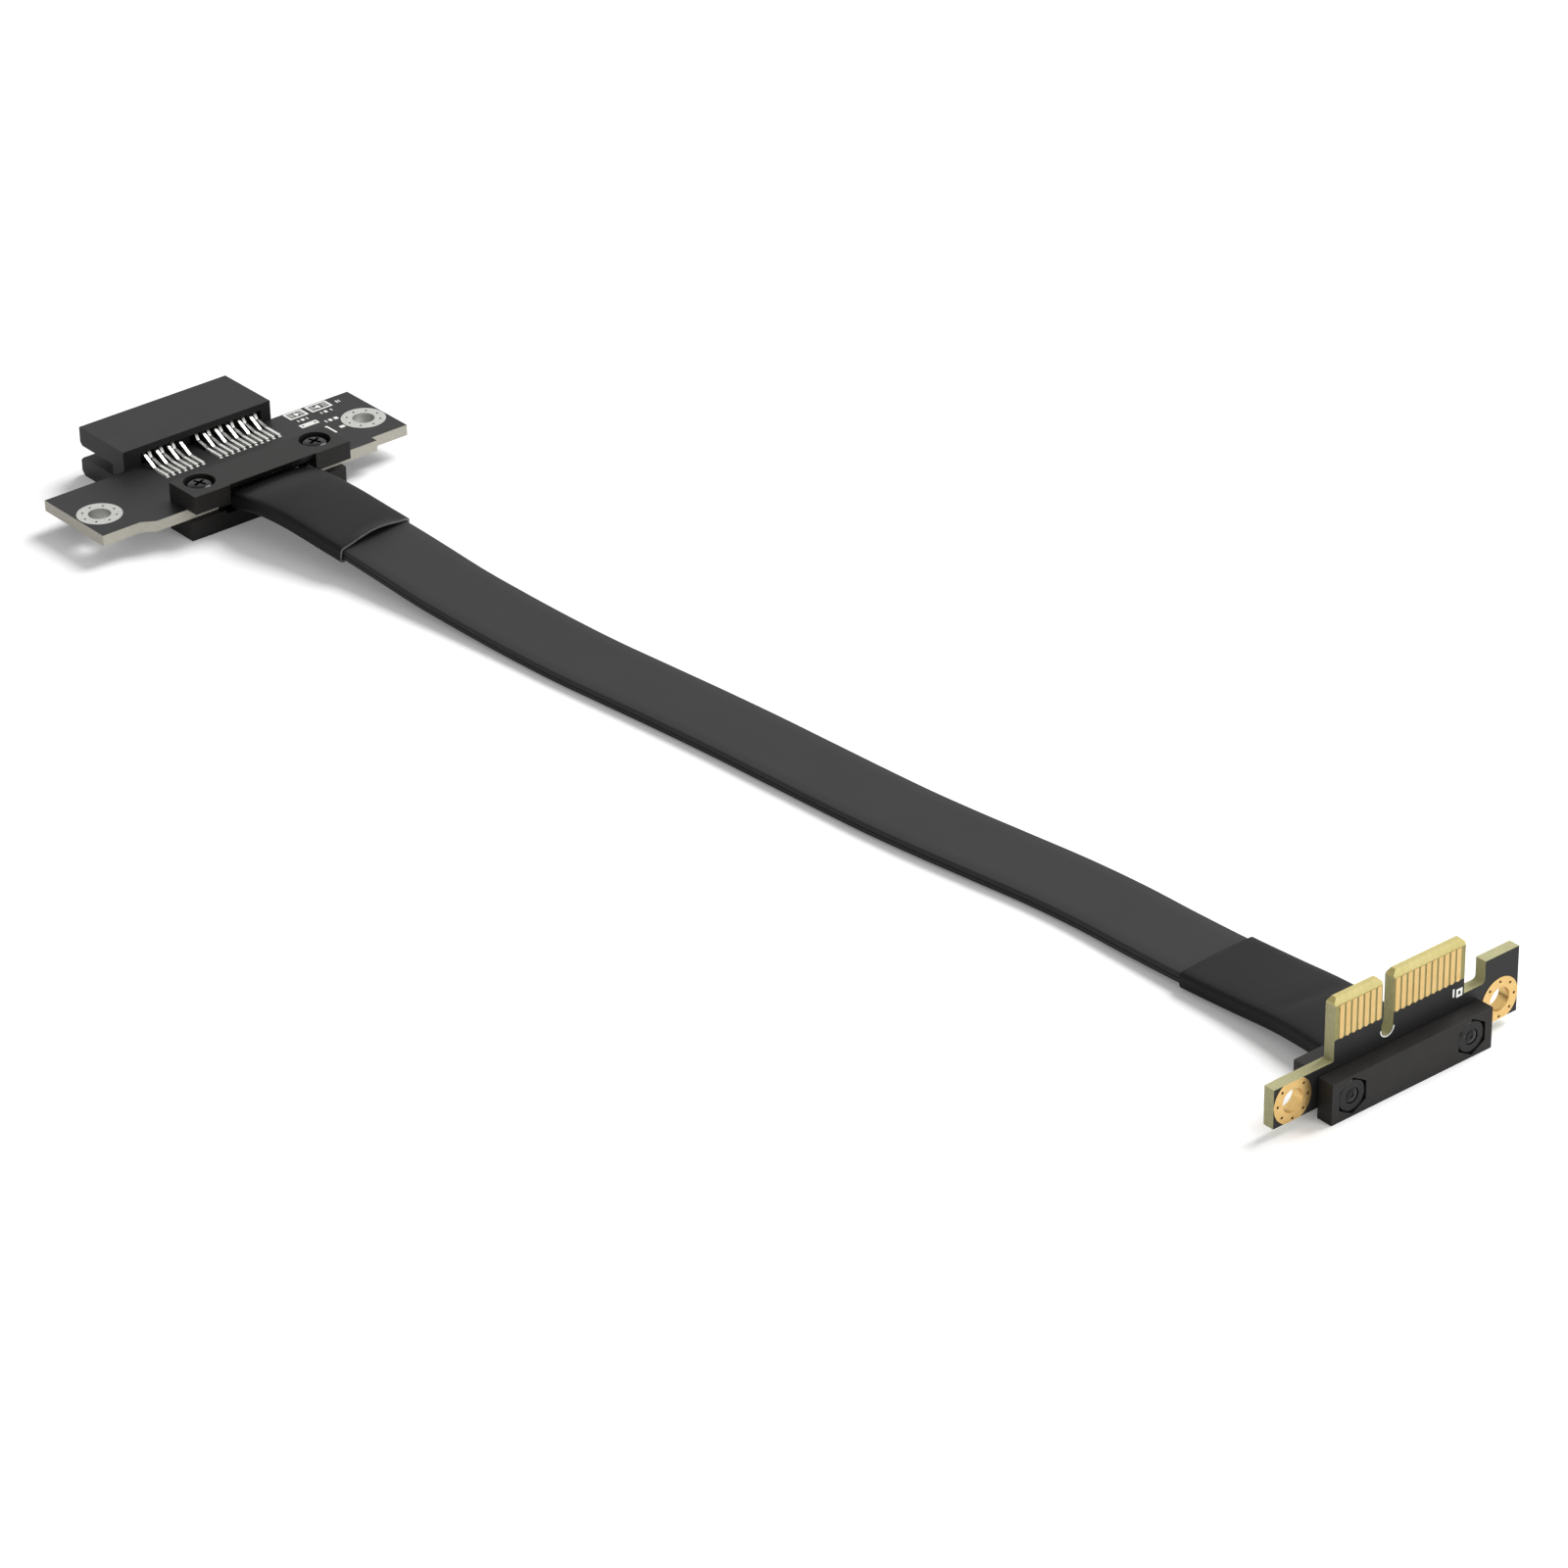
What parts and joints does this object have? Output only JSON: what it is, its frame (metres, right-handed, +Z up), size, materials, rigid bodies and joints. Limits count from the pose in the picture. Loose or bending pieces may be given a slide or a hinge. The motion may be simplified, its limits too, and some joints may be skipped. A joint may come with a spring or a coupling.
{
  "type": "pci express riser cable",
  "caption": "Flat ribbon riser cable with a one-lane card socket on a small board at one end and a card-edge plug board at the other.",
  "frame": {"origin": "on the floor, at the centre of the footprint of the two rigid ends (cable and sleeves left out)", "axes": "+X from the socket end to the plug end, +Y along both boards towards pin 1, +Z up"},
  "size_m": [0.2364, 0.0602, 0.0149],
  "materials": {
    "circuit_board": "dark grey solder mask over glass-fibre laminate, plated rings and fingers",
    "housing": "moulded black connector resin",
    "clamp_block": "moulded black nylon, fine satin",
    "contact_metal": "tin-plated spring alloy",
    "fastener": "black oxide steel",
    "core_wire": "tinned copper cores",
    "cable": "soft matt jacket",
    "sleeve": "heat-shrink tube, slight sheen"
  },
  "bodies": {
    "root": {"socket_board": "circuit_board", "slot_housing": "housing", "contact_top_01": "contact_metal", "contact_top_02": "contact_metal", "contact_top_03": "contact_metal", "contact_top_04": "contact_metal", "contact_top_05": "contact_metal", "contact_top_06": "contact_metal", "contact_top_07": "contact_metal", "contact_top_08": "contact_metal", "contact_top_09": "contact_metal", "contact_top_10": "contact_metal", "contact_top_11": "contact_metal", "contact_top_12": "contact_metal", "contact_top_13": "contact_metal", "contact_top_14": "contact_metal", "contact_top_15": "contact_metal", "contact_top_16": "contact_metal", "contact_top_17": "contact_metal", "contact_top_18": "contact_metal", "contact_bottom_01": "contact_metal", "contact_bottom_02": "contact_metal", "contact_bottom_03": "contact_metal", "contact_bottom_04": "contact_metal", "contact_bottom_05": "contact_metal", "contact_bottom_06": "contact_metal", "contact_bottom_07": "contact_metal", "contact_bottom_08": "contact_metal", "contact_bottom_09": "contact_metal", "contact_bottom_10": "contact_metal", "contact_bottom_11": "contact_metal", "contact_bottom_12": "contact_metal", "contact_bottom_13": "contact_metal", "contact_bottom_14": "contact_metal", "contact_bottom_15": "contact_metal", "contact_bottom_16": "contact_metal", "contact_bottom_17": "contact_metal", "contact_bottom_18": "contact_metal", "socket_clamp_top": "clamp_block", "socket_clamp_bottom": "clamp_block", "socket_screw_left": "fastener", "socket_screw_right": "fastener", "socket_nut_left": "fastener", "socket_nut_right": "fastener", "plug_screw_left": "fastener", "plug_screw_right": "fastener", "plug_nut_left": "fastener", "plug_nut_right": "fastener", "socket_core_comb": "core_wire", "plug_core_comb": "core_wire", "plug_board": "circuit_board", "plug_clamp_front": "clamp_block", "plug_clamp_rear": "clamp_block", "flat_cable": "cable", "socket_sleeve": "sleeve", "plug_sleeve": "sleeve"}
  },
  "joints": []
}
